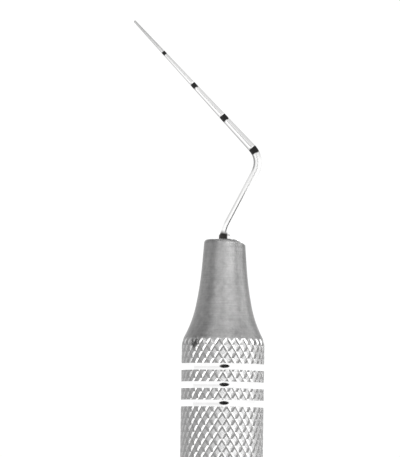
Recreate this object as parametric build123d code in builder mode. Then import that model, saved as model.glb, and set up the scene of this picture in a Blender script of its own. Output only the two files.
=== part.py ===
from build123d import *

import math
import os

# A single-ended dental hand instrument: a slim round tapering point with four black depth rings,
# on a bent shank that is brazed into a trumpet-shaped nose cone, on a hollow knurled handle.
#
# Millimetres and degrees. +Z runs along the handle axis towards the working end, and the origin is
# on that axis, in the middle of the front finger grip. The shank is bent in the XZ plane.
# A "depth" is measured down the handle axis from the flat front face of the nose cone.

# Working end
tip_diameter = 0.25
shank_diameter = 0.92
shank_root_diameter = 1.06
root_diameter = 1.34
root_collar_height = 0.45
root_flare_length = 0.80
root_flare_sagitta = 0.035
root_rise = 0.25
shank_lean = 26.7
point_lean = 43.6
root_bend_radius = 3.5
elbow_bend_radius = 2.4
elbow_offset = 4.10
point_length = 21.36
tang_length = 8.8

# Depth rings: distance of the middle from the end of the tip, and width along the point
depth_ring_widths = {5: 0.42, 10: 0.56, 15: 0.68, 20: 0.70}
depth_ring_inlay = 0.04

# Nose cone: its outline is straight runs between these corners, each rounded tangentially
handle_diameter = 9.35
cone_face_diameter = 4.60
cone_waist = (2.706, 5.27)
cone_flare = (3.498, 9.20)
cone_shoulder_depth = 11.56
cone_edge_radius = 0.39
cone_waist_radius = 37.0
cone_flare_radius = 13.0
cone_shoulder_radius = 2.8
tang_bore_diameter = 1.46
tang_bore_depth = 9.2
nose_relief_diameter = 4.8
nose_relief_depth = 15.5

# Polished rings, shallow round-bottomed grooves in the handle
ring_start_depth = 14.07
ring_pitch = 2.06
ring_width = 0.75
ring_groove_depth = 0.10
ring_count = 3

# Handle tube and the stretches of its outside
bore_diameter = 7.4
grip_end_depth = 46.06
waist_diameter = 8.9
waist_step = 0.5
rear_grip_start_depth = 88.0
rear_seam_depth = 119.5

# End plug
handle_length = 126.0
plug_shoulder_depth = 122.2
plug_face_diameter = 6.4
plug_shoulder_radius = 3.0
plug_edge_radius = 0.7
plug_relief_diameter = 4.8
plug_relief_length = 9.5

# Spigots of the nose cone and the end plug, and the brazing ring in each
spigot_length = 12.0
spigot_lead = 0.4
braze_ring_setback = 1.0
braze_ring_width = 0.8
braze_ring_depth = 0.35

# ---- worked out from the sizes above ----

handle_radius = handle_diameter / 2
bore_radius = bore_diameter / 2
shank_radius = shank_diameter / 2
shank_root_radius = shank_root_diameter / 2
tip_radius = tip_diameter / 2
root_radius = root_diameter / 2

front_ring_depths = [ring_start_depth + ring_pitch * i for i in range(ring_count)]
rear_ring_depths = [rear_seam_depth - ring_width - ring_pitch * i for i in range(ring_count)]
grip_start_depth = front_ring_depths[-1] + ring_width
face_z = (grip_start_depth + grip_end_depth) / 2


def z_at(depth):
    """Height in the part's frame of a depth below the nose cone's face."""
    return face_z - depth


elbow_turn = shank_lean + point_lean
elbow_cutback = elbow_bend_radius * math.tan(math.radians(elbow_turn / 2))
root_cutback = root_bend_radius * math.tan(math.radians(shank_lean / 2))
shank_run = elbow_offset / math.sin(math.radians(shank_lean)) - root_cutback - elbow_cutback
needle_length = point_length - elbow_cutback

# The centre line of the bent shank, from the nose cone's face to the root of the straight point
with BuildLine(Plane.XZ) as root_path:
    rise = Line((0, face_z), (0, face_z + root_rise))
    root_bend = JernArc(rise @ 1, rise % 1, root_bend_radius, -shank_lean)
with BuildLine(Plane.XZ) as lean_path:
    lean = Line(root_bend @ 1, root_bend @ 1 + shank_run * (root_bend % 1))
with BuildLine(Plane.XZ) as elbow_path:
    elbow = JernArc(lean @ 1, lean % 1, elbow_bend_radius, elbow_turn)

# The planes of the leaning shank and of the straight point: X along each towards the tip
lean_axis = Axis(lean @ 0, lean % 0)
lean_side = Plane(origin=lean @ 0, x_dir=lean % 0, z_dir=Plane.XZ.z_dir)
needle_axis = Axis(elbow @ 1, elbow % 1)
needle_side = Plane(origin=elbow @ 1, x_dir=elbow % 1, z_dir=Plane.XZ.z_dir)


def point_radius(from_tip):
    """Radius of the tapering point at a distance from the end of its tip."""
    along = (from_tip - tip_radius) / (needle_length - tip_radius)
    return tip_radius + (shank_radius - tip_radius) * along


# ---- depth rings: black enamel that fills a shallow groove ----

depth_rings = {}

for distance, width in depth_ring_widths.items():
    if distance + width / 2 < needle_length:
        near = distance - width / 2
        far = distance + width / 2
        with BuildPart() as ring:
            with BuildSketch(needle_side):
                with BuildLine():
                    Polyline(
                        (needle_length - near, point_radius(near)),
                        (needle_length - far, point_radius(far)),
                        (needle_length - far, point_radius(far) - depth_ring_inlay),
                        (needle_length - near, point_radius(near) - depth_ring_inlay),
                        close=True,
                    )
                make_face()
            revolve(axis=needle_axis)
    else:
        with BuildPart() as ring:
            with BuildLine(Plane.XZ) as ring_path:
                JernArc(elbow @ 1, (elbow % 1) * -1, elbow_bend_radius,
                        -math.degrees(width / elbow_bend_radius))
            with BuildSketch(Plane(origin=elbow @ 1, z_dir=(elbow % 1) * -1)):
                Circle(shank_radius)
                Circle(shank_radius - depth_ring_inlay, mode=Mode.SUBTRACT)
            sweep(path=ring_path.wires()[0])
    depth_rings[distance] = ring.part

# ---- working end: point, bent shank and tang in one forging ----

with BuildPart() as working_end:
    with BuildSketch(Plane.XY.offset(face_z)):
        Circle(shank_root_radius)
    sweep(path=root_path.wires()[0])
    with BuildSketch(lean_side):
        Polygon(
            (0, 0), (shank_run, 0), (shank_run, shank_radius), (0, shank_root_radius), align=None
        )
    revolve(axis=lean_axis)
    with BuildSketch(Plane(origin=elbow @ 0, z_dir=elbow % 0)):
        Circle(shank_radius)
    sweep(path=elbow_path.wires()[0])
    with BuildSketch(needle_side):
        with BuildLine():
            Polyline(
                (needle_length - tip_radius, tip_radius),
                (0, shank_radius),
                (0, 0),
                (needle_length, 0),
            )
            RadiusArc((needle_length - tip_radius, tip_radius), (needle_length, 0), tip_radius)
        make_face()
    revolve(axis=needle_axis)
    with BuildSketch(Plane.XZ):
        with BuildLine():
            Polyline(
                (shank_root_radius, face_z + root_flare_length),
                (0, face_z + root_flare_length),
                (0, face_z - tang_length),
                (root_radius, face_z - tang_length),
                (root_radius, face_z + root_collar_height),
            )
            SagittaArc(
                (root_radius, face_z + root_collar_height),
                (shank_root_radius, face_z + root_flare_length),
                root_flare_sagitta,
            )
        make_face()
    revolve(axis=Axis.Z)
    for ring_solid in depth_rings.values():
        add(ring_solid, mode=Mode.SUBTRACT)

# ---- brazing alloy between the tang and its bore ----

with BuildPart() as tang_braze:
    with BuildSketch(Plane.XY.offset(face_z - tang_length)):
        Circle(tang_bore_diameter / 2)
        Circle(root_radius, mode=Mode.SUBTRACT)
    extrude(amount=tang_length)

# ---- nose cone, with its bored spigot ----

spigot_end_z = z_at(ring_start_depth + spigot_length)

with BuildPart() as nose_cone:
    with BuildSketch(Plane.XZ):
        with BuildLine():
            FilletPolyline(
                (0, face_z),
                (cone_face_diameter / 2, face_z),
                (cone_waist[0], z_at(cone_waist[1])),
                (cone_flare[0], z_at(cone_flare[1])),
                (handle_radius, z_at(cone_shoulder_depth)),
                (handle_radius, z_at(ring_start_depth)),
                radius=[cone_edge_radius, cone_waist_radius, cone_flare_radius, cone_shoulder_radius],
            )
            Polyline(
                (handle_radius, z_at(ring_start_depth)),
                (bore_radius, z_at(ring_start_depth)),
                (bore_radius, spigot_end_z + spigot_lead),
                (bore_radius - spigot_lead, spigot_end_z),
                (0, spigot_end_z),
                (0, face_z),
            )
        make_face()
    revolve(axis=Axis.Z)
    with Locations((0, 0, face_z)):
        Hole(tang_bore_diameter / 2, depth=tang_bore_depth)
    with Locations(Location((0, 0, spigot_end_z), (180, 0, 0))):
        Hole(nose_relief_diameter / 2, depth=z_at(nose_relief_depth) - spigot_end_z)
    with BuildSketch(Plane.XY.offset(z_at(ring_start_depth + braze_ring_setback))):
        Circle(bore_radius)
        Circle(bore_radius - braze_ring_depth, mode=Mode.SUBTRACT)
    extrude(amount=-braze_ring_width, mode=Mode.SUBTRACT)

with BuildPart() as front_braze_ring:
    with BuildSketch(Plane.XY.offset(z_at(ring_start_depth + braze_ring_setback))):
        Circle(bore_radius)
        Circle(bore_radius - braze_ring_depth, mode=Mode.SUBTRACT)
    extrude(amount=-braze_ring_width)

# ---- handle tube: front grip with polished rings, plain waist, rear grip with polished rings ----

waist_radius = waist_diameter / 2
groove_radius = (ring_width**2 / 4 + ring_groove_depth**2) / (2 * ring_groove_depth)
groove_centres = [
    (handle_radius - ring_groove_depth + groove_radius, z_at(depth + ring_width / 2))
    for depth in front_ring_depths + rear_ring_depths
]

with BuildPart() as handle_tube:
    with BuildSketch(Plane.XZ):
        with BuildLine():
            Polyline(
                (bore_radius, z_at(ring_start_depth)),
                (handle_radius, z_at(ring_start_depth)),
                (handle_radius, z_at(grip_end_depth)),
                (waist_radius, z_at(grip_end_depth + waist_step)),
                (waist_radius, z_at(rear_grip_start_depth - waist_step)),
                (handle_radius, z_at(rear_grip_start_depth)),
                (handle_radius, z_at(rear_seam_depth)),
                (bore_radius, z_at(rear_seam_depth)),
                close=True,
            )
        make_face()
        with Locations(*groove_centres):
            Circle(groove_radius, mode=Mode.SUBTRACT)
    revolve(axis=Axis.Z)

# ---- end plug, with its bored spigot ----

plug_spigot_z = z_at(rear_seam_depth) + spigot_length

with BuildPart() as end_plug:
    with BuildSketch(Plane.XZ):
        with BuildLine():
            FilletPolyline(
                (handle_radius, z_at(rear_seam_depth)),
                (handle_radius, z_at(plug_shoulder_depth)),
                (plug_face_diameter / 2, z_at(handle_length)),
                (0, z_at(handle_length)),
                radius=[plug_shoulder_radius, plug_edge_radius],
            )
            Polyline(
                (0, z_at(handle_length)),
                (0, plug_spigot_z),
                (bore_radius - spigot_lead, plug_spigot_z),
                (bore_radius, plug_spigot_z - spigot_lead),
                (bore_radius, z_at(rear_seam_depth)),
                (handle_radius, z_at(rear_seam_depth)),
            )
        make_face()
    revolve(axis=Axis.Z)
    with Locations((0, 0, plug_spigot_z)):
        Hole(plug_relief_diameter / 2, depth=plug_relief_length)
    with BuildSketch(Plane.XY.offset(z_at(rear_seam_depth - braze_ring_setback))):
        Circle(bore_radius)
        Circle(bore_radius - braze_ring_depth, mode=Mode.SUBTRACT)
    extrude(amount=braze_ring_width, mode=Mode.SUBTRACT)

with BuildPart() as rear_braze_ring:
    with BuildSketch(Plane.XY.offset(z_at(rear_seam_depth - braze_ring_setback))):
        Circle(bore_radius)
        Circle(bore_radius - braze_ring_depth, mode=Mode.SUBTRACT)
    extrude(amount=braze_ring_width)

# ---- labels and files ----

os.makedirs("parts", exist_ok=True)

for distance, ring_solid in depth_rings.items():
    ring_solid.label = f"depth_ring_{distance}mm"
    export_step(ring_solid, f"parts/depth_ring_{distance}mm.step")

working_end.part.label = "working_end"
export_step(working_end.part, "parts/working_end.step")

tang_braze.part.label = "tang_braze"
export_step(tang_braze.part, "parts/tang_braze.step")

nose_cone.part.label = "nose_cone"
export_step(nose_cone.part, "parts/nose_cone.step")

front_braze_ring.part.label = "front_braze_ring"
export_step(front_braze_ring.part, "parts/front_braze_ring.step")

handle_tube.part.label = "handle_tube"
export_step(handle_tube.part, "parts/handle_tube.step")

end_plug.part.label = "end_plug"
export_step(end_plug.part, "parts/end_plug.step")

rear_braze_ring.part.label = "rear_braze_ring"
export_step(rear_braze_ring.part, "parts/rear_braze_ring.step")
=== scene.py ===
import math

import bmesh
import bpy
from mathutils import Matrix, Vector


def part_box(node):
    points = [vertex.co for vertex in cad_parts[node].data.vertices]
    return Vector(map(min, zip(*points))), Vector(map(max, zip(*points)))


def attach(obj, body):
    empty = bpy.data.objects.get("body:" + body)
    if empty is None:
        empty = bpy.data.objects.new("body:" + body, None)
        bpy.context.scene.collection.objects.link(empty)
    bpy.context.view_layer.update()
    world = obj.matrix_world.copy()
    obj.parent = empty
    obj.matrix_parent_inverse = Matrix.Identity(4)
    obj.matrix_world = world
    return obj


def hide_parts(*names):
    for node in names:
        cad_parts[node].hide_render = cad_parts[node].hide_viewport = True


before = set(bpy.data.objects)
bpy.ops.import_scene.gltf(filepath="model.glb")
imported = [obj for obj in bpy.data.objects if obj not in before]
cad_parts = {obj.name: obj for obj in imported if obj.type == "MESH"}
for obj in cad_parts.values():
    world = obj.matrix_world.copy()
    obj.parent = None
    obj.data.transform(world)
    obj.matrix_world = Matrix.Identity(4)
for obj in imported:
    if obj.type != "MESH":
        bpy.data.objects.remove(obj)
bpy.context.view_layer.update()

MM = 0.001

# ---- places and sizes that come from the frame, metres ----

face_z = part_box("nose_cone")[1].z
rear_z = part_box("end_plug")[0].z
handle_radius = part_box("handle_tube")[1].x
tube_top_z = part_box("handle_tube")[1].z
tube_bottom_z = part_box("handle_tube")[0].z
spigot_end_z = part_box("nose_cone")[0].z
plug_top_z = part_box("end_plug")[1].z
tang_end_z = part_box("working_end")[0].z

# ---- sizes of the instrument's own shapes ----

# Bent shank and tapering point
TIP_RADIUS = 0.125 * MM
SHANK_RADIUS = 0.46 * MM
SHANK_ROOT_RADIUS = 0.53 * MM
ROOT_RADIUS = 0.67 * MM
COLLAR_HEIGHT = 0.45 * MM
ROOT_FLARE = 0.80 * MM
ROOT_RISE = 0.25 * MM
SHANK_LEAN = math.radians(26.7)
POINT_LEAN = math.radians(43.6)
ROOT_BEND_RADIUS = 3.5 * MM
ELBOW_BEND_RADIUS = 2.4 * MM
ELBOW_OFFSET = 4.10 * MM
POINT_LENGTH = 21.36 * MM

# Depth rings: distance from the tip and width
DEPTH_RINGS = {5: 0.42 * MM, 10: 0.56 * MM, 15: 0.68 * MM, 20: 0.70 * MM}
RING_INLAY = 0.04 * MM

# Nose cone outline in millimetres: corners as (radius, depth below the face). The roundings are of
# these corners and of the shoulder, where the flare meets the handle's diameter.
CONE_CORNERS = [(2.30, 0.0), (2.706, 5.27), (3.498, 9.20)]
CONE_ROUNDING = [0.39, 37.0, 13.0, 2.8]
CONE_SHOULDER_DEPTH = 11.56

# Bores and spigots
TANG_BORE_RADIUS = 0.73 * MM
TANG_BORE_DEPTH = 9.2 * MM
RELIEF_RADIUS = 2.4 * MM
NOSE_RELIEF_DEPTH = 15.5 * MM
BORE_RADIUS = 3.7 * MM
SPIGOT_LEAD = 0.4 * MM

# Polished rings: bands that stand in seats of the tube, their faces turned as shallow hollows
RING_PITCH = 2.06 * MM
RING_WIDTH = 0.75 * MM
RING_COUNT = 3
RING_EDGE_DROP = 0.05 * MM
RING_HOLLOW = 0.030 * MM
RING_SEAT_RADIUS = 4.45 * MM

# Plain waist between the grips: it starts and ends at these depths below the cone's face
GRIP_END_DEPTH = 46.06 * MM
REAR_GRIP_DEPTH = 88.0 * MM
WAIST_RADIUS = 4.45 * MM
WAIST_STEP = 0.5 * MM

# End plug outline in millimetres, its knurled collar, and its bored relief
PLUG_SHOULDER_DEPTH = 122.2
PLUG_FACE_RADIUS = 3.2
PLUG_ROUNDING = [3.0, 0.7]
PLUG_COLLAR_MARGIN = 1.0 * MM
PLUG_RELIEF = 9.5 * MM

# A stain in the knurl: turned to the left from the front, and below the cone's face
STAIN_TURN = math.radians(-44.5)
STAIN_DEPTH = 11.8 * MM
STAIN_RADIUS = 0.55 * MM
STAIN_PLACE = Vector((
    handle_radius * math.sin(STAIN_TURN), -handle_radius * math.cos(STAIN_TURN), face_z - STAIN_DEPTH
))

# The painted highlight on the edge of the cone's face: its line starts this far right of the middle and
# falls at a slope
HIGHLIGHT_START = 1.25 * MM
HIGHLIGHT_SLOPE = 0.55

# Diamond knurl: as many grooves of each hand as it has starts. On the cone it starts at a depth below
# the face and reaches its full depth over the run-in. Its grid is shifted from the tube's upper end.
KNURL_STARTS = 30
KNURL_PITCH = 1.51 * MM
KNURL_DEPTH = 0.11 * MM
KNURL_FLAT = 0.5
KNURL_STEPS = 8
KNURL_START_DEPTH = 11.06 * MM
KNURL_RUN_IN = 0.40 * MM
KNURL_SHIFT = -0.2 * MM
COLUMNS = KNURL_STARTS * KNURL_STEPS
KNURL_STEP = KNURL_PITCH / KNURL_STEPS
KNURL_TOP_Z = tube_top_z + KNURL_SHIFT

# Fineness of the meshes
POINT_SEGMENTS = 40
ARC_STEP = math.radians(2.0)
MERGE_DISTANCE = 0.0001 * MM


# ---- small helpers ----


def add_object(name, data):
    """A new object in the scene."""
    made = bpy.data.objects.new(name, data)
    bpy.context.scene.collection.objects.link(made)
    return made


def add_node(tree, kind, settings=None, inputs=None):
    """A new node, with its settings and with each input set to a value or linked to a socket."""
    made = tree.nodes.new(kind)
    for name, value in (settings or {}).items():
        setattr(made, name, value)
    for name, value in (inputs or {}).items():
        socket = made.inputs[name]
        if isinstance(value, bpy.types.NodeSocket):
            tree.links.new(value, socket)
        else:
            socket.default_value = value
    return made


def math_node(tree, operation, first, second=0.0, third=0.0):
    """The output socket of a Math node on numbers or sockets."""
    made = add_node(
        tree, "ShaderNodeMath", {"operation": operation}, {0: first, 1: second, 2: third}
    )
    return made.outputs[0]


# ---- outlines and skins ----


def rounded_outline(corners, radii):
    """The points of a run of straight lines whose inner corners are rounded by tangent arcs."""
    points = [Vector(corners[0])]
    for before, corner, after, radius in zip(corners, corners[1:], corners[2:], radii):
        corner = Vector(corner)
        arrive = (corner - Vector(before)).normalized()
        leave = (Vector(after) - corner).normalized()
        turn = arrive.angle(leave)
        cutback = radius * math.tan(turn / 2)
        side = (leave - arrive).normalized()
        centre = corner + side * (radius / math.cos(turn / 2))
        start = corner - arrive * cutback
        steps = max(2, math.ceil(turn / ARC_STEP))
        spoke = start - centre
        hand = 1.0 if arrive.x * leave.y - arrive.y * leave.x > 0 else -1.0
        for i in range(steps + 1):
            a = hand * turn * i / steps
            points.append(
                centre
                + Vector((
                    spoke.x * math.cos(a) - spoke.y * math.sin(a),
                    spoke.x * math.sin(a) + spoke.y * math.cos(a),
                ))
            )
    points.append(Vector(corners[-1]))
    return points


def close_skin(mesh):
    """Merges points that coincide, and turns every face outwards."""
    work = bmesh.new()
    work.from_mesh(mesh)
    bmesh.ops.remove_doubles(work, verts=work.verts, dist=MERGE_DISTANCE)
    bmesh.ops.recalc_face_normals(work, faces=work.faces)
    work.to_mesh(mesh)
    work.free()


def skin(name, rows, columns, loop=False):
    """A closed mesh through rows of points. A row is (centre, first axis, second axis, radius, mark).

    The mark is kept on the row's points as the attribute "knurled". A row of no radius is a pole, and
    a loop joins the last row to the first. Between knurled rows each cell is split along its groove.
    """
    points = []
    marks = []
    for centre, first, second, radius, mark in rows:
        for k in range(columns):
            a = 2 * math.pi * k / columns
            points.append(centre + (first * math.cos(a) + second * math.sin(a)) * radius)
            marks.append(mark)
    faces = []
    for i in range(len(rows) if loop else len(rows) - 1):
        upper = rows[i]
        lower = rows[(i + 1) % len(rows)]
        level = round((KNURL_TOP_Z - upper[0].z) / KNURL_STEP)
        for k in range(columns):
            corner = [
                i * columns + k,
                i * columns + (k + 1) % columns,
                (i + 1) % len(rows) * columns + (k + 1) % columns,
                (i + 1) % len(rows) * columns + k,
            ]
            if not (upper[4] and lower[4]):
                faces.append(corner)
            elif groove_distance(k - level) < groove_distance(k + level + 1):
                faces += [(corner[0], corner[1], corner[2]), (corner[0], corner[2], corner[3])]
            else:
                faces += [(corner[0], corner[1], corner[3]), (corner[1], corner[2], corner[3])]
    mesh = bpy.data.meshes.new(name)
    mesh.from_pydata(points, [], faces)
    attribute = mesh.attributes.new("knurled", "FLOAT", "POINT")
    attribute.data.foreach_set("value", marks)
    close_skin(mesh)
    mesh.polygons.foreach_set("use_smooth", [True] * len(mesh.polygons))
    return add_object(name, mesh)


def groove_distance(steps):
    """How many grid steps a place on the knurl's grid lies from the nearest groove of one hand."""
    return min(steps % KNURL_STEPS, -steps % KNURL_STEPS)


def turned_rows(outline, mark=0.0):
    """Rows about the handle axis, from (radius, height) points."""
    across = Vector((1, 0, 0))
    away = Vector((0, 1, 0))
    return [(Vector((0, 0, z)), across, away, r, mark) for r, z in outline]


def sharpen(made, angle):
    """Marks edges that turn by the angle or more as sharp, so that only the rest shade smoothly."""
    work = bmesh.new()
    work.from_mesh(made.data)
    for edge in work.edges:
        edge.smooth = len(edge.link_faces) == 2 and edge.calc_face_angle() < angle
    work.to_mesh(made.data)
    work.free()


# The dull pieces, which the lamps light; the polished ones only mirror the room
DULL_PIECES = bpy.data.collections.new("dull_pieces")


def ride(piece, slot_name, node):
    """Puts a finished piece on the instrument in place of its CAD node."""
    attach(piece, "root")
    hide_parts(node)
    if slot_name in ("satin_steel", "knurled_steel"):
        DULL_PIECES.objects.link(piece)


# ---- geometry node trees ----


def new_tree(name, sockets):
    """A geometry tree with a Geometry input and output and the named inputs between them."""
    tree = bpy.data.node_groups.new(name, "GeometryNodeTree")
    tree.interface.new_socket("Geometry", in_out="INPUT", socket_type="NodeSocketGeometry")
    for label, kind in sockets:
        tree.interface.new_socket(label, in_out="INPUT", socket_type="NodeSocket" + kind)
    tree.interface.new_socket("Geometry", in_out="OUTPUT", socket_type="NodeSocketGeometry")
    return tree, tree.nodes.new("NodeGroupInput").outputs


def end_tree(tree, geometry, material):
    """Realize Instances and Set Material, then the tree's output."""
    real = add_node(tree, "GeometryNodeRealizeInstances", None, {"Geometry": geometry})
    painted = add_node(
        tree, "GeometryNodeSetMaterial", None, {"Geometry": real.outputs[0], "Material": material}
    )
    add_node(tree, "NodeGroupOutput", None, {"Geometry": painted.outputs[0]})


def grow(source, tree, values):
    """Runs a tree on an object and returns a new plain mesh object of the result, with no modifier."""
    modifier = source.modifiers.new(tree.name, "NODES")
    modifier.node_group = tree
    for item in tree.interface.items_tree:
        if item.in_out == "INPUT" and item.name in values:
            modifier[item.identifier] = values[item.name]
    depsgraph = bpy.context.evaluated_depsgraph_get()
    mesh = bpy.data.meshes.new_from_object(
        source.evaluated_get(depsgraph), preserve_all_data_layers=True, depsgraph=depsgraph
    )
    name = source.name
    source.modifiers.clear()
    bpy.data.objects.remove(source)
    mesh.name = name
    return add_object(name, mesh)


def knurl_tree():
    """Cuts crossed helical grooves into a turned skin, as deep as its points are marked knurled."""
    tree, given = new_tree("diamond_knurl", [
        ("Starts", "Float"), ("Pitch", "Float"), ("Depth", "Float"), ("Flat share", "Float"),
        ("Phase", "Float"), ("Material", "Material"),
    ])
    place = add_node(tree, "GeometryNodeInputPosition").outputs[0]
    parts = add_node(tree, "ShaderNodeSeparateXYZ", None, {0: place}).outputs
    squares = math_node(
        tree, "ADD", math_node(tree, "POWER", parts[0], 2.0), math_node(tree, "POWER", parts[1], 2.0)
    )
    radius = math_node(tree, "SQRT", squares)
    angle = math_node(tree, "ARCTAN2", parts[1], parts[0])
    around = math_node(tree, "DIVIDE", math_node(tree, "MULTIPLY", angle, given["Starts"]), 2 * math.pi)
    along = math_node(
        tree, "DIVIDE", math_node(tree, "SUBTRACT", parts[2], given["Phase"]), given["Pitch"]
    )
    walls = []
    for operation in ("ADD", "SUBTRACT"):
        phase = math_node(tree, "FRACT", math_node(tree, operation, around, along))
        offset = math_node(tree, "ABSOLUTE", math_node(tree, "MULTIPLY_ADD", phase, 2.0, -1.0))
        walls.append(math_node(tree, "SUBTRACT", 1.0, offset))
    slope = math_node(tree, "SUBTRACT", 1.0, given["Flat share"])
    height = math_node(tree, "DIVIDE", math_node(tree, "MINIMUM", walls[0], walls[1]), slope)
    cut = math_node(tree, "SUBTRACT", 1.0, math_node(tree, "MINIMUM", height, 1.0))
    knurled = add_node(
        tree, "GeometryNodeInputNamedAttribute", {"data_type": "FLOAT"}, {"Name": "knurled"}
    ).outputs[0]
    # How deep a point lies, from 0 at a crest or on plain metal to 1 at a groove's floor
    sunk = math_node(tree, "MULTIPLY", cut, knurled)
    left = math_node(tree, "SUBTRACT", radius, math_node(tree, "MULTIPLY", sunk, given["Depth"]))
    # A pole has no radius to divide by
    divisor = math_node(tree, "MAXIMUM", radius, 0.001 * MM)
    shrink = math_node(tree, "DIVIDE", left, divisor)
    moved = add_node(tree, "ShaderNodeCombineXYZ", None, {
        0: math_node(tree, "MULTIPLY", parts[0], shrink),
        1: math_node(tree, "MULTIPLY", parts[1], shrink),
        2: parts[2],
    })
    marked = add_node(
        tree, "GeometryNodeStoreNamedAttribute", {"data_type": "FLOAT", "domain": "POINT"},
        {"Geometry": given["Geometry"], "Name": "groove", "Value": sunk},
    )
    shaped = add_node(
        tree, "GeometryNodeSetPosition", None,
        {"Geometry": marked.outputs[0], "Position": moved.outputs[0]},
    )
    end_tree(tree, shaped.outputs[0], given["Material"])
    return tree


def row_tree():
    """Repeats a turned band down the handle axis at an even pitch."""
    tree, given = new_tree("ring_row", [("Count", "Int"), ("Step", "Vector"), ("Material", "Material")])
    line = add_node(
        tree, "GeometryNodeMeshLine", {"mode": "OFFSET"},
        {"Count": given["Count"], "Offset": given["Step"]},
    )
    copies = add_node(
        tree, "GeometryNodeInstanceOnPoints", None,
        {"Points": line.outputs[0], "Instance": given["Geometry"]},
    )
    end_tree(tree, copies.outputs[0], given["Material"])
    return tree


def sweep_tree():
    """Sweeps a circle along a curve, as wide at each point as the curve's own radius there.

    The distance along the curve and the share of the turn around it stay on the skin as attributes.
    """
    tree, given = new_tree("tapered_sweep", [("Segments", "Int"), ("Material", "Material")])
    length = add_node(tree, "GeometryNodeSplineParameter").outputs["Length"]
    path = add_node(
        tree, "GeometryNodeStoreNamedAttribute", {"data_type": "FLOAT", "domain": "POINT"},
        {"Geometry": given["Geometry"], "Name": "along", "Value": length},
    )
    circle = add_node(
        tree, "GeometryNodeCurvePrimitiveCircle", {"mode": "RADIUS"},
        {"Resolution": given["Segments"], "Radius": 1.0},
    )
    share = add_node(tree, "GeometryNodeSplineParameter").outputs["Factor"]
    hoop = add_node(
        tree, "GeometryNodeStoreNamedAttribute", {"data_type": "FLOAT", "domain": "POINT"},
        {"Geometry": circle.outputs[0], "Name": "around", "Value": share},
    )
    width = add_node(tree, "GeometryNodeInputRadius").outputs[0]
    swept = add_node(tree, "GeometryNodeCurveToMesh", None, {
        "Curve": path.outputs[0], "Profile Curve": hoop.outputs[0], "Scale": width, "Fill Caps": True,
    })
    smooth = add_node(tree, "GeometryNodeSetShadeSmooth", None, {"Geometry": swept.outputs[0]})
    end_tree(tree, smooth.outputs[0], given["Material"])
    return tree


# ---- the bent centre line, measured from the tip ----


def bent_line():
    """The stretches of the centre line from the tip to the end of the tang.

    Each is (length, start point, heading, signed bend radius), and a straight stretch has no bend.
    """
    turn = SHANK_LEAN + POINT_LEAN
    elbow_cut = ELBOW_BEND_RADIUS * math.tan(turn / 2)
    root_cut = ROOT_BEND_RADIUS * math.tan(SHANK_LEAN / 2)
    run = ELBOW_OFFSET / math.sin(SHANK_LEAN) - root_cut - elbow_cut
    elbow_corner = Vector((
        ELBOW_OFFSET, 0, face_z + ROOT_RISE + root_cut + ELBOW_OFFSET / math.tan(SHANK_LEAN)
    ))
    point_way = Vector((-math.sin(POINT_LEAN), 0, math.cos(POINT_LEAN)))
    place = elbow_corner + point_way * POINT_LENGTH
    heading = -point_way
    stretches = []
    for length, bend in [
        (POINT_LENGTH - elbow_cut, 0.0),
        (ELBOW_BEND_RADIUS * turn, ELBOW_BEND_RADIUS),
        (run, 0.0),
        (ROOT_BEND_RADIUS * SHANK_LEAN, -ROOT_BEND_RADIUS),
        (ROOT_RISE + face_z - tang_end_z, 0.0),
    ]:
        stretches.append((length, place, heading, bend))
        place, heading = travel(place, heading, bend, length)
    return stretches


def travel(place, heading, bend, distance):
    """Where a straight or circular stretch gets to after a distance, and its heading there."""
    if not bend:
        return place + heading * distance, heading
    left = Vector((heading.z, 0, -heading.x)) * (1 if bend > 0 else -1)
    swing = distance / abs(bend)
    centre = place + left * abs(bend)
    there = centre - left * abs(bend) * math.cos(swing) + heading * abs(bend) * math.sin(swing)
    return there, heading * math.cos(swing) + left * math.sin(swing)


STRETCHES = bent_line()
LINE_LENGTH = sum(stretch[0] for stretch in STRETCHES)
NEEDLE_LENGTH = STRETCHES[0][0]
FACE_DISTANCE = LINE_LENGTH - (face_z - tang_end_z)
# The straight lean of the shank is the stretch that tapers
TAPER_START = NEEDLE_LENGTH + STRETCHES[1][0]
TAPER_END = TAPER_START + STRETCHES[2][0]


def line_at(distance):
    """The point of the centre line at a distance from the tip, and its heading."""
    for length, place, heading, bend in STRETCHES:
        if distance <= length or length == STRETCHES[-1][0]:
            return travel(place, heading, bend, distance)
        distance -= length


def steel_radius(distance):
    """Radius of the ground steel at a distance from the tip, without the ring grooves.

    The point tapers up to the elbow, the shank tapers on, and the root flares out to a low collar.
    """
    if distance < TIP_RADIUS:
        return math.sqrt(max(0.0, TIP_RADIUS**2 - (TIP_RADIUS - distance) ** 2))
    if distance < NEEDLE_LENGTH:
        share = (distance - TIP_RADIUS) / (NEEDLE_LENGTH - TIP_RADIUS)
        return TIP_RADIUS + (SHANK_RADIUS - TIP_RADIUS) * share
    share = (distance - TAPER_START) / (TAPER_END - TAPER_START)
    shank = SHANK_RADIUS + (SHANK_ROOT_RADIUS - SHANK_RADIUS) * min(1.0, max(0.0, share))
    climb = (FACE_DISTANCE - COLLAR_HEIGHT - distance) / (ROOT_FLARE - COLLAR_HEIGHT)
    climb = min(1.0, max(0.0, climb))
    return shank + (ROOT_RADIUS - shank) * (1 - climb * (2 - climb))


def ring_ends():
    """The near and far end of each depth ring, as distances from the tip.

    A ring that would reach into the elbow starts where the elbow does.
    """
    ends = {}
    for distance, width in DEPTH_RINGS.items():
        near = distance * MM - width / 2
        if near + width > NEEDLE_LENGTH:
            near = max(near, NEEDLE_LENGTH)
        ends[distance] = (near, near + width)
    return ends


RING_ENDS = ring_ends()


# ---- surface finishes ----


def new_material(name):
    """An empty material, and its node tree."""
    made = bpy.data.materials.new(name)
    made.use_nodes = True
    made.node_tree.nodes.clear()
    return made, made.node_tree


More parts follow.
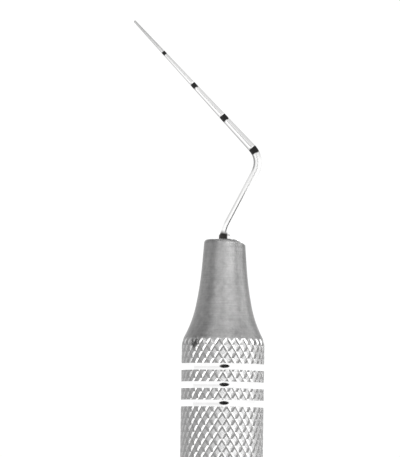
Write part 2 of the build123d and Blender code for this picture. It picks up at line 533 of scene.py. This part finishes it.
def noise(tree, coordinates, scale, detail, roughness):
    """The grey output of a noise texture."""
    made = add_node(tree, "ShaderNodeTexNoise", None, {
        "Vector": coordinates, "Scale": scale, "Detail": detail, "Roughness": roughness,
    })
    return made.outputs[0]


def spread(tree, value, low, high, start=0.3, end=0.7):
    """A value taken from its own range, from start to end, to the range from low to high."""
    made = add_node(tree, "ShaderNodeMapRange", None, {
        "Value": value, "From Min": start, "From Max": end, "To Min": low, "To Max": high,
    })
    return made.outputs[0]


def blend_colours(tree, share, first, second):
    """A mix of two colours."""
    made = add_node(tree, "ShaderNodeMix", {"data_type": "RGBA"}, {0: share, 6: first, 7: second})
    return made.outputs[2]


def grey(value, warmth=0.0):
    """A neutral colour, a little warm or cool."""
    return (value * (1 + warmth), value, value * (1 - warmth), 1.0)


def object_coordinates(tree, stretch=(1, 1, 1)):
    """Object coordinates in millimetres, each multiplied by its stretch."""
    made = add_node(tree, "ShaderNodeTexCoord").outputs["Object"]
    return add_node(tree, "ShaderNodeMapping", None, {
        "Vector": made, "Scale": tuple(s / MM for s in stretch),
    }).outputs[0]


def bump(tree, height, depth, strength):
    """The normal of a bump whose height runs over a depth in metres."""
    return add_node(
        tree, "ShaderNodeBump", None, {"Strength": strength, "Distance": depth, "Height": height}
    ).outputs[0]


def surface(tree, shader):
    """Makes a shader the material's surface."""
    add_node(tree, "ShaderNodeOutputMaterial", None, {"Surface": shader.outputs[0]})


def metal(tree, colour, roughness, normal, brushed=None):
    """Makes bare metal the material's surface. Brushed metal is (share, direction of stretch)."""
    inputs = {"Base Color": colour, "Metallic": 1.0, "Roughness": roughness, "Normal": normal}
    if brushed is not None:
        inputs["Anisotropic"], inputs["Tangent"] = brushed
    surface(tree, add_node(tree, "ShaderNodeBsdfPrincipled", None, inputs))


def down_the_handle(tree):
    """The direction along the skin of a turned piece, square to its turning marks."""
    parts = add_node(tree, "ShaderNodeSeparateXYZ", None, {0: object_coordinates(tree)}).outputs
    around = add_node(tree, "ShaderNodeCombineXYZ", None, {
        0: math_node(tree, "MULTIPLY", parts[1], -1.0), 1: parts[0],
    }).outputs[0]
    facing = add_node(tree, "ShaderNodeNewGeometry").outputs["Normal"]
    return add_node(
        tree, "ShaderNodeVectorMath", {"operation": "CROSS_PRODUCT"}, {0: around, 1: facing}
    ).outputs[0]


BLASTED = grey(0.17), grey(0.27, 0.004)
FRESH_CUT = grey(0.36), grey(0.42, 0.004)
GRIME = grey(0.33, 0.01)
# Painted shade for the groove walls that face up
UPWARD_SHADE = grey(0.285, 0.005)
WORN_CREST = grey(0.262)
# Painted highlight colour for the right of the cone's face edge
PAINTED_HIGHLIGHT = grey(0.95)
OLD_STAIN = grey(0.02)


def handle_steel():
    """Bead-blasted steel on plain metal; where it is knurled, brighter, with grime down the grooves."""
    made, tree = new_material("handle_steel")
    place = object_coordinates(tree)
    knurled = add_node(tree, "ShaderNodeAttribute", {"attribute_name": "knurled"}).outputs["Fac"]
    groove = add_node(tree, "ShaderNodeAttribute", {"attribute_name": "groove"}).outputs["Fac"]
    clouds = noise(tree, object_coordinates(tree, (1, 1, 0.5)), 0.45, 3.0, 0.6)
    mottle = noise(tree, place, 1.7, 4.0, 0.65)
    turning = noise(tree, object_coordinates(tree, (0.35, 0.35, 7.0)), 1.0, 3.0, 0.6)
    grain = noise(tree, place, 20.0, 2.0, 0.7)

    tone = math_node(tree, "MULTIPLY_ADD", mottle, 0.45, math_node(tree, "MULTIPLY", clouds, 0.35))
    tone = math_node(tree, "MULTIPLY_ADD", turning, 0.20, tone)
    blasted = blend_colours(tree, spread(tree, tone, 0, 1, 0.38, 0.62), *BLASTED)

    cut = blend_colours(tree, spread(tree, mottle, 0, 1, 0.35, 0.65), *FRESH_CUT)
    grime = spread(tree, groove, 0.0, 0.5, 0.75, 1.0)
    cut = blend_colours(tree, grime, cut, GRIME)
    # Groove walls that face up are painted darker, as shade
    facing = add_node(tree, "ShaderNodeNewGeometry").outputs["Normal"]
    upwards = add_node(tree, "ShaderNodeSeparateXYZ", None, {0: facing}).outputs[2]
    cut = blend_colours(tree, spread(tree, upwards, 0.0, 1.0, 0.05, 0.20), cut, UPWARD_SHADE)
    # ... and handling has worn the crests
    crest = spread(tree, groove, 1.0, 0.0, 0.0, 0.15)
    cut = blend_colours(tree, crest, cut, WORN_CREST)
    colour = blend_colours(tree, knurled, blasted, cut)

    # A highlight is painted on the edge of the cone's face on the right, above a slanting line
    parts = add_node(tree, "ShaderNodeSeparateXYZ", None, {0: place}).outputs
    slanting = math_node(tree, "MULTIPLY_ADD", parts[0], HIGHLIGHT_SLOPE, parts[2])
    line = face_z / MM + HIGHLIGHT_SLOPE * HIGHLIGHT_START / MM
    softness = 0.06
    painted_highlight = spread(tree, slanting, 0.0, 1.0, line - softness, line + softness)
    colour = blend_colours(tree, painted_highlight, colour, PAINTED_HIGHLIGHT)

    # An old stain with a ragged outline, on the left of the front
    raggedness = 1.6
    cover = 0.85
    away = add_node(
        tree, "ShaderNodeVectorMath", {"operation": "DISTANCE"}, {0: place, 1: STAIN_PLACE / MM}
    ).outputs["Value"]
    away = math_node(tree, "MULTIPLY_ADD", noise(tree, place, 2.2, 2.0, 0.6), -raggedness, away)
    stain = spread(tree, away, cover, 0.0, STAIN_RADIUS / MM - 1.0, STAIN_RADIUS / MM - 0.5)
    colour = blend_colours(tree, stain, colour, OLD_STAIN)

    dull = spread(tree, mottle, 0.47, 0.53)
    bright = math_node(tree, "MULTIPLY_ADD", crest, 0.24, spread(tree, mottle, 0.24, 0.30))
    roughness = add_node(
        tree, "ShaderNodeMix", {"data_type": "FLOAT"}, {0: knurled, 2: dull, 3: bright}
    ).outputs[0]
    # Where the highlight is painted the metal is also made smoother
    roughness = math_node(tree, "MULTIPLY_ADD", painted_highlight, -0.20, roughness)
    # Turning marks stretch the shine of the plain metal down the handle
    plain = math_node(tree, "SUBTRACT", 1.0, knurled)
    brushed = (math_node(tree, "MULTIPLY", plain, 0.8), down_the_handle(tree))
    metal(tree, colour, roughness, bump(tree, grain, 0.008 * MM, 0.4), brushed)
    return made


def polished_rings_steel():
    """Bright turned and buffed steel, with hair-fine lines around it."""
    made, tree = new_material("polished_ring_steel")
    lines = noise(tree, object_coordinates(tree, (0.15, 0.15, 60.0)), 1.0, 2.0, 0.6)
    smudge = noise(tree, object_coordinates(tree), 0.8, 3.0, 0.6)
    colour = blend_colours(tree, spread(tree, smudge, 0, 1), grey(0.86), grey(0.94))
    roughness = spread(tree, smudge, 0.05, 0.11)
    metal(tree, colour, roughness, bump(tree, lines, 0.0006 * MM, 0.3))
    return made


GROUND_BRIGHT = grey(0.93), grey(0.97, 0.003)
GROUND_DULL = grey(0.60)
# Painted shade for the point seen at a slant and on its underside
SLANT_SHADE = grey(0.22)
# The root's dark colour, painted lighter on its lit right side
ROOT_DARK = grey(0.045, 0.05)


def ground_steel():
    """The point and shank: ground along their length and buffed, dull at the tip, painted dark at the
    root.
    """
    made, tree = new_material("ground_steel")
    along = add_node(tree, "ShaderNodeAttribute", {"attribute_name": "along"}).outputs["Fac"]
    around = add_node(tree, "ShaderNodeAttribute", {"attribute_name": "around"}).outputs["Fac"]
    # Grinding lines read the turn around the shank through its cosine and sine, so they have no seam
    swing = math_node(tree, "MULTIPLY", around, 2 * math.pi)
    wrapped = add_node(tree, "ShaderNodeCombineXYZ", None, {
        0: math_node(tree, "MULTIPLY", math_node(tree, "COSINE", swing), 6.0),
        1: math_node(tree, "MULTIPLY", math_node(tree, "SINE", swing), 6.0),
        2: math_node(tree, "MULTIPLY", along, 0.12 / MM),
    }).outputs[0]
    lines = noise(tree, wrapped, 1.0, 2.0, 0.5)
    smudge = noise(tree, object_coordinates(tree), 0.9, 3.0, 0.6)
    colour = blend_colours(tree, spread(tree, smudge, 0, 1), *GROUND_BRIGHT)

    # The fine end keeps its dull grinding
    near_tip = spread(tree, along, 1.0, 0.0, 1.5 * MM, 8.0 * MM)
    colour = blend_colours(tree, near_tip, colour, GROUND_DULL)

    # Painted shade: steel seen at a slant is painted darker, and the point's left underside more so;
    # the shank hardly is
    slant = add_node(tree, "ShaderNodeLayerWeight", None, {"Blend": 0.5}).outputs["Facing"]
    slant = spread(tree, slant, 0.0, 0.55, 0.40, 0.80)
    facing = add_node(tree, "ShaderNodeNewGeometry").outputs["Normal"]
    sideways = add_node(tree, "ShaderNodeSeparateXYZ", None, {0: facing}).outputs[0]
    under = spread(tree, sideways, 0.92, 0.0, -0.70, -0.46)
    thin = spread(tree, along, 1.0, 0.3, TAPER_START - 0.4 * MM, TAPER_START + 0.3 * MM)
    slant = math_node(tree, "MULTIPLY", math_node(tree, "MAXIMUM", slant, under), thin)
    colour = blend_colours(tree, slant, colour, SLANT_SHADE)

    # The root is painted dark
    root_dark = spread(
        tree, math_node(tree, "MULTIPLY_ADD", smudge, 0.3 * MM, along), 0.0, 1.0,
        FACE_DISTANCE - 0.85 * MM, FACE_DISTANCE - 0.45 * MM,
    )
    # ... less so on the right, which is painted lighter as the side the light falls on
    sideways = add_node(tree, "ShaderNodeSeparateXYZ", None, {0: object_coordinates(tree)}).outputs[0]
    painted_lit_side = spread(tree, sideways, 1.0, 0.12, 0.22, 0.34)
    root_dark = math_node(tree, "MULTIPLY", root_dark, painted_lit_side)
    colour = blend_colours(tree, root_dark, colour, ROOT_DARK)

    roughness = math_node(
        tree, "ADD", spread(tree, lines, 0.15, 0.19), math_node(tree, "MULTIPLY", near_tip, 0.25)
    )
    roughness = math_node(tree, "MULTIPLY_ADD", root_dark, 0.25, roughness)
    # The elbow is rubbed dull by the bending tool
    bent = math_node(
        tree, "MULTIPLY",
        spread(tree, along, 0.0, 1.0, NEEDLE_LENGTH - 0.3 * MM, NEEDLE_LENGTH),
        spread(tree, along, 1.0, 0.0, TAPER_START + 1.5 * MM, TAPER_START + 3.5 * MM),
    )
    roughness = math_node(tree, "MULTIPLY_ADD", bent, 0.20, roughness)
    metal(tree, colour, roughness, bump(tree, lines, 0.0008 * MM, 0.3))
    return made


def black_enamel():
    """Baked black filler in the depth grooves, very slightly uneven."""
    made, tree = new_material("black_enamel")
    place = object_coordinates(tree)
    mottle = noise(tree, place, 9.0, 3.0, 0.6)
    colour = blend_colours(tree, spread(tree, mottle, 0, 1), grey(0.006), grey(0.016))
    shader = add_node(tree, "ShaderNodeBsdfPrincipled", None, {
        "Base Color": colour, "Roughness": spread(tree, mottle, 0.38, 0.55), "IOR": 1.33,
        "Normal": bump(tree, mottle, 0.004 * MM, 0.5),
    })
    surface(tree, shader)
    return made


def braze_alloy():
    """Silver brazing alloy, cast smooth with a warm tint."""
    made, tree = new_material("braze_alloy")
    place = object_coordinates(tree)
    mottle = noise(tree, place, 5.0, 3.0, 0.6)
    colour = blend_colours(tree, spread(tree, mottle, 0, 1), grey(0.50, 0.06), grey(0.66, 0.10))
    # Flux has burnt on where the alloy comes out at the cone's face
    height = add_node(tree, "ShaderNodeSeparateXYZ", None, {0: place}).outputs[2]
    burnt = spread(tree, height, 0.0, 1.0, face_z / MM - 0.05, face_z / MM + 0.01)
    colour = blend_colours(tree, burnt, colour, grey(0.10))
    metal(tree, colour, spread(tree, mottle, 0.22, 0.42), bump(tree, mottle, 0.006 * MM, 0.4))
    return made


HANDLE_STEEL = handle_steel()
RING_STEEL = polished_rings_steel()
GROUND_STEEL = ground_steel()
ENAMEL = black_enamel()
BRAZE = braze_alloy()

KNURL = knurl_tree()
KNURL_SETTINGS = {
    "Starts": float(KNURL_STARTS),
    "Pitch": KNURL_PITCH,
    "Depth": KNURL_DEPTH,
    "Flat share": KNURL_FLAT,
    "Phase": KNURL_TOP_Z,
    "Material": HANDLE_STEEL,
}
ROW = row_tree()


# ---- the pieces ----


def knurl_heights(top, bottom):
    """Heights of a knurled stretch's rows: its ends, and the knurl's own grid clear of them."""
    clear = 0.25
    first = math.ceil((KNURL_TOP_Z - top) / KNURL_STEP + clear)
    last = math.floor((KNURL_TOP_Z - bottom) / KNURL_STEP - clear)
    inside = [KNURL_TOP_Z - KNURL_STEP * i for i in range(first, last + 1)]
    return [top] + inside + [bottom]


def knurl(made):
    """Cuts the knurl into a skin and leaves its edges crisp."""
    made = grow(made, KNURL, KNURL_SETTINGS)
    sharpen(made, math.radians(14))
    return made


def nose_cone():
    """The trumpet-shaped cone with its bored spigot, knurled where it flares into the handle."""
    corners = [(0.0, 0.0)] + CONE_CORNERS
    corners.append((handle_radius / MM, CONE_SHOULDER_DEPTH))
    corners.append((handle_radius / MM, (face_z - tube_top_z) / MM))
    outline = [(p.x * MM, face_z - p.y * MM) for p in rounded_outline(corners, CONE_ROUNDING)]
    smooth_end = face_z - KNURL_START_DEPTH
    plain = [p for p in outline[1:] if p[1] > smooth_end]
    heights = knurl_heights(smooth_end, tube_top_z)

    def flare_radius(z):
        """Radius of the turned outline at a height on the flare."""
        for (r0, z0), (r1, z1) in zip(outline, outline[1:]):
            if z1 <= z <= z0 and z0 > z1:
                return r0 + (r1 - r0) * (z0 - z) / (z0 - z1)
        return handle_radius

    rows = turned_rows([
        (0.0, face_z - TANG_BORE_DEPTH),
        (TANG_BORE_RADIUS, face_z - TANG_BORE_DEPTH),
        (TANG_BORE_RADIUS, face_z),
    ])
    rows += turned_rows(plain)
    for z in heights:
        run_in = min(1.0, (smooth_end - z) / KNURL_RUN_IN)
        rows += turned_rows([(flare_radius(z), z)], run_in)
    rows += turned_rows([
        (BORE_RADIUS, tube_top_z),
        (BORE_RADIUS, spigot_end_z + SPIGOT_LEAD),
        (BORE_RADIUS - SPIGOT_LEAD, spigot_end_z),
        (RELIEF_RADIUS, spigot_end_z),
        (RELIEF_RADIUS, face_z - NOSE_RELIEF_DEPTH),
        (0.0, face_z - NOSE_RELIEF_DEPTH),
    ])
    made = skin("nose_cone_skin", rows, COLUMNS)
    made = knurl(made)
    ride(made, "satin_steel", "nose_cone")


def ring_tops(first_top):
    """Heights of the upper edges of one group of polished rings."""
    return [first_top - RING_PITCH * i for i in range(RING_COUNT)]


FRONT_RING_TOPS = ring_tops(tube_top_z)
REAR_RING_TOPS = ring_tops(tube_bottom_z + RING_WIDTH + RING_PITCH * (RING_COUNT - 1))


def seat_stretches(tops):
    """The seats of one group of rings and the knurled bands between them, as (kind, top, bottom)."""
    stretches = []
    for top in tops[:-1]:
        stretches.append(("seat", top, top - RING_WIDTH))
        stretches.append(("knurl", top - RING_WIDTH, top - RING_PITCH))
    stretches.append(("seat", tops[-1], tops[-1] - RING_WIDTH))
    return stretches


def handle_tube():
    """The hollow tube: knurled grips, ring seats and the plain waist, closed by its bore."""
    waist_top = face_z - GRIP_END_DEPTH
    waist_bottom = face_z - REAR_GRIP_DEPTH
    stretches = [
        *seat_stretches(FRONT_RING_TOPS),
        ("knurl", FRONT_RING_TOPS[-1] - RING_WIDTH, waist_top),
        ("waist", waist_top, waist_bottom),
        ("knurl", waist_bottom, REAR_RING_TOPS[0]),
        *seat_stretches(REAR_RING_TOPS),
    ]
    rows = []
    for kind, top, bottom in stretches:
        if kind == "seat":
            rows += turned_rows([(RING_SEAT_RADIUS, top), (RING_SEAT_RADIUS, bottom)])
        elif kind == "waist":
            rows += turned_rows([
                (handle_radius - KNURL_DEPTH, top),
                (WAIST_RADIUS, top - WAIST_STEP),
                (WAIST_RADIUS, bottom + WAIST_STEP),
                (handle_radius - KNURL_DEPTH, bottom),
            ])
        else:
            rows += turned_rows([(handle_radius, z) for z in knurl_heights(top, bottom)], 1.0)
    rows += turned_rows([(BORE_RADIUS, tube_bottom_z), (BORE_RADIUS, tube_top_z)])
    made = skin("handle_tube_skin", rows, COLUMNS, loop=True)
    made = knurl(made)
    ride(made, "knurled_steel", "handle_tube")


def polished_rings(name, first_top):
    """One group of bright rings: hollow-faced bands repeated down the handle."""
    edge = handle_radius - RING_EDGE_DROP
    half = RING_WIDTH / 2
    hollow = (half**2 + RING_HOLLOW**2) / (2 * RING_HOLLOW)
    reach = math.asin(half / hollow)
    steps = 8
    face = []
    for i in range(-steps, steps + 1):
        a = reach * i / steps
        face.append((edge - RING_HOLLOW + hollow * (1 - math.cos(a)), -half - hollow * math.sin(a)))
    band = face + [(RING_SEAT_RADIUS, -RING_WIDTH), (RING_SEAT_RADIUS, 0.0)]
    outline = [(r, first_top + z) for r, z in band]
    made = skin(name, turned_rows(outline), COLUMNS, loop=True)
    sharpen(made, math.radians(40))
    made = grow(made, ROW, {"Count": RING_COUNT, "Step": (0, 0, -RING_PITCH), "Material": RING_STEEL})
    ride(made, "polished_steel", "handle_tube")


def end_plug():
    """The closed rear end with its bored spigot."""
    corners = [
        (handle_radius / MM, (face_z - tube_bottom_z) / MM),
        (handle_radius / MM, PLUG_SHOULDER_DEPTH),
        (PLUG_FACE_RADIUS, (face_z - rear_z) / MM),
        (0.0, (face_z - rear_z) / MM),
    ]
    outline = [(p.x * MM, face_z - p.y * MM) for p in rounded_outline(corners, PLUG_ROUNDING)]
    collar = knurl_heights(tube_bottom_z, face_z - PLUG_SHOULDER_DEPTH * MM + PLUG_COLLAR_MARGIN)
    rows = turned_rows([
        (0.0, plug_top_z - PLUG_RELIEF),
        (RELIEF_RADIUS, plug_top_z - PLUG_RELIEF),
        (RELIEF_RADIUS, plug_top_z),
        (BORE_RADIUS - SPIGOT_LEAD, plug_top_z),
        (BORE_RADIUS, plug_top_z - SPIGOT_LEAD),
        (BORE_RADIUS, tube_bottom_z),
    ])
    rows += turned_rows([(handle_radius, z) for z in collar], 1.0)
    rows += turned_rows([p for p in outline if p[1] < collar[-1]])
    made = skin("end_plug_skin", rows, COLUMNS)
    made = knurl(made)
    ride(made, "satin_steel", "end_plug")


def working_end():
    """The point, bent shank and tang, swept in one piece along the bent centre line."""
    step = 0.25 * MM
    pole = 0.0005 * MM
    tip_steps = 8
    flare_steps = 20
    past_face = 0.05 * MM
    groove_wall = 0.004 * MM
    groove_margin = 0.02 * MM
    stations = {}

    def note(distance, sunk=0.0):
        stations[distance] = steel_radius(distance) - sunk

    for i in range(tip_steps + 1):
        note(TIP_RADIUS * (1 - math.cos(math.pi / 2 * i / tip_steps)) + pole)
    for i in range(1, int(LINE_LENGTH / step)):
        note(i * step)
    flare_start = FACE_DISTANCE - ROOT_FLARE
    for i in range(flare_steps + 1):
        note(flare_start + (ROOT_FLARE + past_face) * i / flare_steps)
    note(LINE_LENGTH)
    for near, far in RING_ENDS.values():
        for distance in [d for d in stations if near - groove_margin <= d <= far + groove_margin]:
            del stations[distance]
        note(near - groove_wall)
        note(near, RING_INLAY)
        note(far, RING_INLAY)
        note(far + groove_wall)
    curve = bpy.data.curves.new("working_end_skin", "CURVE")
    curve.dimensions = "3D"
    spline = curve.splines.new("POLY")
    spline.points.add(len(stations) - 1)
    for point, distance in zip(spline.points, sorted(stations)):
        point.co = (*line_at(distance)[0], 1.0)
        point.radius = stations[distance]
    made = add_object("working_end_skin", curve)
    made = grow(made, sweep_tree(), {"Segments": POINT_SEGMENTS, "Material": GROUND_STEEL})
    close_skin(made.data)
    ride(made, "polished_steel", "working_end")


def depth_ring(distance):
    """One band of black enamel, crowned a little over its groove in the point."""
    near, far = RING_ENDS[distance]
    name = f"depth_ring_{distance}mm"
    crown_height = 0.006 * MM
    steps = 8
    rows = []

    def row(where, drop):
        centre, heading = line_at(where)
        sideways = Vector((0, 1, 0))
        rows.append((centre, sideways, heading.cross(sideways), steel_radius(where) - drop, 0.0))

    for i in range(steps + 1):
        share = i / steps
        crown = crown_height * (1 - (2 * share - 1) ** 4)
        row(near + (far - near) * share, -crown)
    for i in range(steps + 1):
        share = 1 - i / steps
        row(near + (far - near) * share, RING_INLAY)
    made = skin(name + "_band", rows, POINT_SEGMENTS, loop=True)
    made.data.materials.append(ENAMEL)
    sharpen(made, math.radians(60))
    ride(made, "black_enamel", name)


def braze_fillet():
    """The alloy around the tang, drawn up into a small fillet at the cone's face."""
    climb = 0.10 * MM
    steps = 8
    fillet = []
    for i in range(steps + 1):
        a = math.pi / 2 * i / steps
        outward = (TANG_BORE_RADIUS - ROOT_RADIUS + climb) * (1 - math.sin(a))
        fillet.append((ROOT_RADIUS + outward, face_z + climb * (1 - math.cos(a))))
    outline = fillet + [
        (ROOT_RADIUS, tang_end_z),
        (TANG_BORE_RADIUS, tang_end_z),
        (TANG_BORE_RADIUS, face_z),
    ]
    made = skin("tang_braze_fillet", turned_rows(outline), POINT_SEGMENTS * 2, loop=True)
    made.data.materials.append(BRAZE)
    sharpen(made, math.radians(50))
    ride(made, "braze", "tang_braze")


nose_cone()
handle_tube()
polished_rings("front_polished_rings", FRONT_RING_TOPS[0])
polished_rings("rear_polished_rings", REAR_RING_TOPS[0])
end_plug()
working_end()
for ring_distance in DEPTH_RINGS:
    depth_ring(ring_distance)
braze_fillet()

# The braze rings inside the handle keep their CAD shapes
for hidden_ring in ("front_braze_ring", "rear_braze_ring"):
    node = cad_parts[hidden_ring]
    node.data.materials.clear()
    node.data.materials.append(BRAZE)


# ---- camera ----

# The view takes in this height at the instrument. The camera stands a little lower and looks up.
CAMERA_DISTANCE = 0.60
CAMERA_RISE = math.radians(-2.8)
CAMERA_ROLL = math.radians(0.88)
VIEW_HEIGHT = 51.755 * MM
SENSOR_MM = 36.0

# The middle of the view lies beside the handle axis and above the cone's face
AIM_ACROSS = -2.82 * MM
AIM_UP = 1.23 * MM

camera_data = bpy.data.cameras.new("camera")
camera_data.sensor_width = SENSOR_MM
camera_data.lens = SENSOR_MM * CAMERA_DISTANCE / VIEW_HEIGHT
camera_data.clip_start = 0.01
camera_data.clip_end = 20.0
camera = add_object("camera", camera_data)
aim = Vector((AIM_ACROSS, 0, face_z + AIM_UP))
back = Vector((0, -math.cos(CAMERA_RISE), math.sin(CAMERA_RISE)))
camera.location = aim + back * CAMERA_DISTANCE
# Seen from the camera the instrument leans a little to the right, so the camera itself turns left
tilt = Matrix.Rotation(CAMERA_ROLL, 4, back)
camera.rotation_mode = "QUATERNION"
level = (-back).to_track_quat("-Z", "Y").to_matrix().to_4x4()
camera.rotation_quaternion = (tilt @ level).to_quaternion()
bpy.context.scene.camera = camera


# ---- floor, light and backdrop ----


def floor():
    """A pale floor under the rear end that fades to white away from the instrument."""
    half = 9.0
    fade_start = 0.05
    fade_end = 0.22
    glow_strength = 1.12
    corners = [(-half, -half), (half, -half), (half, half), (-half, half)]
    mesh = bpy.data.meshes.new("floor")
    mesh.from_pydata([(x, y, rear_z) for x, y in corners], [], [(0, 1, 2, 3)])
    made = add_object("floor", mesh)
    material, tree = new_material("pale_floor")
    place = add_node(tree, "ShaderNodeTexCoord").outputs["Object"]
    flat = add_node(
        tree, "ShaderNodeVectorMath", {"operation": "MULTIPLY"}, {0: place, 1: (1, 1, 0)}
    ).outputs[0]
    away = add_node(
        tree, "ShaderNodeVectorMath", {"operation": "LENGTH"}, {0: flat}
    ).outputs["Value"]
    far = spread(tree, away, 0.0, 1.0, fade_start, fade_end)
    paper = add_node(tree, "ShaderNodeBsdfDiffuse", None, {"Color": (0.86, 0.86, 0.87, 1)})
    glow = add_node(
        tree, "ShaderNodeEmission", None, {"Color": (1, 1, 1, 1), "Strength": glow_strength}
    )
    surface(tree, add_node(tree, "ShaderNodeMixShader", None, {
        0: far, 1: paper.outputs[0], 2: glow.outputs[0],
    }))
    mesh.materials.append(material)


def lamp(name, place, towards, width, height, radiance):
    """A soft rectangular lamp that lights only the dull pieces and isn't seen itself."""
    data = bpy.data.lights.new(name, "AREA")
    data.shape = "RECTANGLE"
    data.size = width
    data.size_y = height
    data.energy = radiance * math.pi * width * height
    made = add_object(name, data)
    made.location = place
    made.rotation_mode = "QUATERNION"
    made.rotation_quaternion = (Vector(towards) - Vector(place)).to_track_quat("-Z", "Y")
    made.visible_camera = False
    made.light_linking.receiver_collection = DULL_PIECES


def around_cone(azimuth, elevation, distance):
    """A place around the lit centre: azimuth from the camera's side to the right, and elevation."""
    a = math.radians(azimuth)
    e = math.radians(elevation)
    way = Vector((math.sin(a) * math.cos(e), -math.cos(a) * math.cos(e), math.sin(e)))
    return LIT_CENTRE + way * distance


def surroundings():
    """White to the camera. To light and reflections: white walls under a dim dome, black overhead."""
    camera_white = 1.05
    wall_light = 1.25
    left_dimming = 0.29
    dome_light = 0.76
    overhead_share = 0.05
    dome_start = 0.40
    right_lowering = 0.18
    world = bpy.data.worlds.new("studio")
    bpy.context.scene.world = world
    world.use_nodes = True
    tree = world.node_tree
    tree.nodes.clear()
    way = add_node(tree, "ShaderNodeTexCoord").outputs["Generated"]
    parts = add_node(tree, "ShaderNodeSeparateXYZ", None, {0: way}).outputs
    up = parts[2]
    # The azimuth is 0 behind the camera and grows towards the right
    azimuth = math_node(tree, "ARCTAN2", parts[0], math_node(tree, "MULTIPLY", parts[1], -1.0))
    right = spread(tree, azimuth, 0.0, 1.0, math.radians(-2), math.radians(8))
    # The wall in front on the left is dimmer, and less so higher up
    left = math_node(tree, "MULTIPLY", math_node(tree, "SUBTRACT", 1.0, right), spread(
        tree, azimuth, 0.0, 1.0, math.radians(-94), math.radians(-92)
    ))
    left = math_node(tree, "MULTIPLY", left, spread(tree, up, 1.0, 0.5, 0.12, 0.28))
    wall = math_node(tree, "MULTIPLY_ADD", left, -left_dimming, wall_light)
    # The dome starts lower on the right than on the left
    dome = math_node(tree, "MULTIPLY", spread(tree, up, 1.0, overhead_share, 0.80, 0.92), dome_light)
    start = math_node(tree, "MULTIPLY_ADD", right, -right_lowering, dome_start)
    above = spread(tree, math_node(tree, "SUBTRACT", up, start), 0.0, 1.0, 0.0, 0.10)
    level = add_node(
        tree, "ShaderNodeMix", {"data_type": "FLOAT"}, {0: above, 2: wall, 3: dome}
    ).outputs[0]
    seen = add_node(tree, "ShaderNodeLightPath").outputs["Is Camera Ray"]
    strength = add_node(
        tree, "ShaderNodeMix", {"data_type": "FLOAT"}, {0: seen, 2: level, 3: camera_white}
    ).outputs[0]
    paint = add_node(tree, "ShaderNodeBackground", None, {"Color": (1, 1, 1, 1), "Strength": strength})
    add_node(tree, "ShaderNodeOutputWorld", None, {"Surface": paint.outputs[0]})


def dark_card():
    """A dark oval board in front, that the polished metal mirrors."""
    across = 0.150
    tall = 0.108
    azimuth = 4.6
    distance = 0.60
    corners = 48
    place = around_cone(azimuth, 0, distance)
    sideways = Vector((math.cos(math.radians(azimuth)), math.sin(math.radians(azimuth)), 0))
    rim = []
    for k in range(corners):
        a = 2 * math.pi * k / corners
        rim.append(place + sideways * (across * math.cos(a)) + Vector((0, 0, tall * math.sin(a))))
    mesh = bpy.data.meshes.new("dark_card")
    mesh.from_pydata(rim, [], [tuple(range(corners))])
    made = add_object("dark_card", mesh)
    material, tree = new_material("dark_card")
    surface(tree, add_node(tree, "ShaderNodeBsdfDiffuse", None, {"Color": grey(0.015)}))
    mesh.materials.append(material)
    made.visible_camera = False


# What the softboxes point at: the upper end of the handle
LIT_CENTRE = Vector((0, 0, face_z - 16 * MM))
SOFTBOX_DISTANCE = 0.5

# Name, azimuth, elevation, width, height and radiance
SOFTBOXES = [
    ("key_softbox", 31, -2, 0.56, 0.20, 7.0),
    ("fill_softbox", -20, -2, 0.40, 0.20, 2.6),
    ("side_softbox", 88, 0, 0.40, 0.24, 4.0),
    ("left_softbox", -92, 0, 0.30, 0.24, 0.6),
    ("top_softbox", -14, 57, 0.60, 0.17, 3.4),
    ("back_softbox", 165, 45, 0.40, 0.20, 5.0),
]

# The light table lies on the floor in front of the instrument and faces up
TABLE_AHEAD = 0.27
TABLE_LIFT = 2 * MM
TABLE_WIDTH = 0.44
TABLE_LENGTH = 0.30
TABLE_RADIANCE = 2.6

floor()
surroundings()
dark_card()
lamp(
    "light_table", (0, -TABLE_AHEAD, rear_z + TABLE_LIFT), (0, -TABLE_AHEAD, 1.0),
    TABLE_WIDTH, TABLE_LENGTH, TABLE_RADIANCE,
)
for softbox_name, azimuth, elevation, width, height, radiance in SOFTBOXES:
    place = around_cone(azimuth, elevation, SOFTBOX_DISTANCE)
    lamp(softbox_name, place, LIT_CENTRE, width, height, radiance)

bpy.context.scene.view_settings.view_transform = "Standard"
